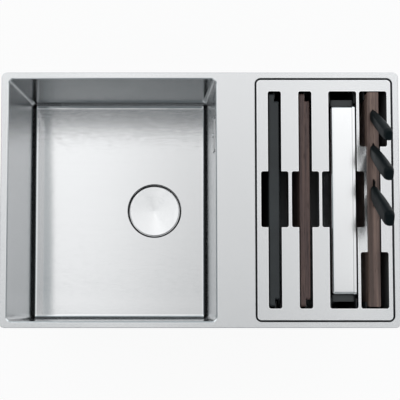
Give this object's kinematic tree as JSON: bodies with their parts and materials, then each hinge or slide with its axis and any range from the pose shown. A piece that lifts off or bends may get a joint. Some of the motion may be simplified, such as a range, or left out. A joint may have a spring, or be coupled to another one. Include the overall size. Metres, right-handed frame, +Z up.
{
  "type": "stainless steel sink",
  "caption": "Inset stainless steel kitchen sink with a deep bowl and basket waste, beside a flush slotted panel that stores cutting boards, a colander and a knife block.",
  "frame": {"origin": "centre of the deck's outline, in the plane of the worktop that the rim rests on", "axes": "+X along the deck from the bowl to the stored accessories, +Y to the back, +Z up"},
  "size_m": [0.7, 0.45, 0.4225],
  "materials": {
    "satin_steel": "satin, fine brushed grain",
    "bright_steel": "polished",
    "spring_steel": "zinc plated",
    "black_moulding": "fine texture",
    "grey_moulding": "smooth moulded",
    "black_composite": "fine paper-composite grain",
    "dark_wood": "oiled",
    "brown_wood": "oiled",
    "handle_black": "semi-gloss moulded",
    "seal_rubber": "matt",
    "foam_seal": "closed-cell foam",
    "deadening_pad": "bitumen sheet"
  },
  "bodies": {
    "sink": {"deck_plate": "satin_steel", "main_bowl": "satin_steel", "accessory_bowl": "satin_steel", "rim_seal": "foam_seal", "sound_pads": "deadening_pad", "spring_clips": "spring_steel", "clip_rivets": "spring_steel", "ledge_gasket": "seal_rubber", "strainer_upper_seal": "seal_rubber", "strainer_flange": "bright_steel", "strainer_lower_seal": "seal_rubber", "waste_body": "grey_moulding", "waste_outlet": "grey_moulding", "waste_clamp_screw": "bright_steel", "overflow_faceplate": "satin_steel", "overflow_screw": "bright_steel", "overflow_seal": "seal_rubber", "overflow_elbow": "grey_moulding", "overflow_pipe": "grey_moulding", "accessory_waste": "grey_moulding", "accessory_waste_seal": "seal_rubber", "accessory_waste_washer": "seal_rubber", "accessory_waste_nut": "grey_moulding"},
    "strainer_basket": {"strainer_basket": "bright_steel", "basket_knob": "handle_black", "basket_stopper": "seal_rubber"},
    "drain_cover": {"drain_cover": "satin_steel"},
    "organizer": {"accessory_panel": "satin_steel", "organizer_tub": "black_moulding", "guide_comb_rear": "black_moulding", "guide_comb_front": "black_moulding"},
    "black_board": {"black_board": "black_composite"},
    "wood_board": {"wood_board": "dark_wood"},
    "colander": {"colander_pan": "satin_steel", "colander_handle_rear": "black_moulding", "colander_handle_front": "black_moulding", "colander_rivets": "bright_steel"},
    "knife_block": {"knife_block_left_half": "brown_wood", "knife_block_right_half": "brown_wood", "knife_block_feet": "seal_rubber"},
    "paring_knife": {"paring_knife_blade": "bright_steel", "paring_knife_handle": "handle_black"},
    "utility_knife": {"utility_knife_blade": "bright_steel", "utility_knife_handle": "handle_black"},
    "chef_knife": {"chef_knife_blade": "bright_steel", "chef_knife_handle": "handle_black"}
  },
  "joints": [
    {"name": "organizer_lift", "type": "slide", "parent": "sink", "child": "organizer", "axis": [0, 0, 1], "range_m": [0, 0.25]},
    {"name": "black_board_lift", "type": "slide", "parent": "organizer", "child": "black_board", "axis": [0, 0, 1], "range_m": [0, 0.22]},
    {"name": "wood_board_lift", "type": "slide", "parent": "organizer", "child": "wood_board", "axis": [0, 0, 1], "range_m": [0, 0.22]},
    {"name": "colander_lift", "type": "slide", "parent": "organizer", "child": "colander", "axis": [0, 0, 1], "range_m": [0, 0.22]},
    {"name": "knife_block_lift", "type": "slide", "parent": "organizer", "child": "knife_block", "axis": [0, 0, 1], "range_m": [0, 0.22]},
    {"name": "paring_knife_draw", "type": "slide", "parent": "knife_block", "child": "paring_knife", "axis": [0, -0.4462, 0.8949], "range_m": [0, 0.08]},
    {"name": "utility_knife_draw", "type": "slide", "parent": "knife_block", "child": "utility_knife", "axis": [0, -0.4462, 0.8949], "range_m": [0, 0.17]},
    {"name": "chef_knife_draw", "type": "slide", "parent": "knife_block", "child": "chef_knife", "axis": [0, -0.4462, 0.8949], "range_m": [0, 0.2]},
    {"name": "basket_lift", "type": "slide", "parent": "sink", "child": "strainer_basket", "axis": [0, 0, 1], "range_m": [0, 0.12]},
    {"name": "cover_lift", "type": "slide", "parent": "strainer_basket", "child": "drain_cover", "axis": [0, 0, 1], "range_m": [0, 0.1]}
  ]
}
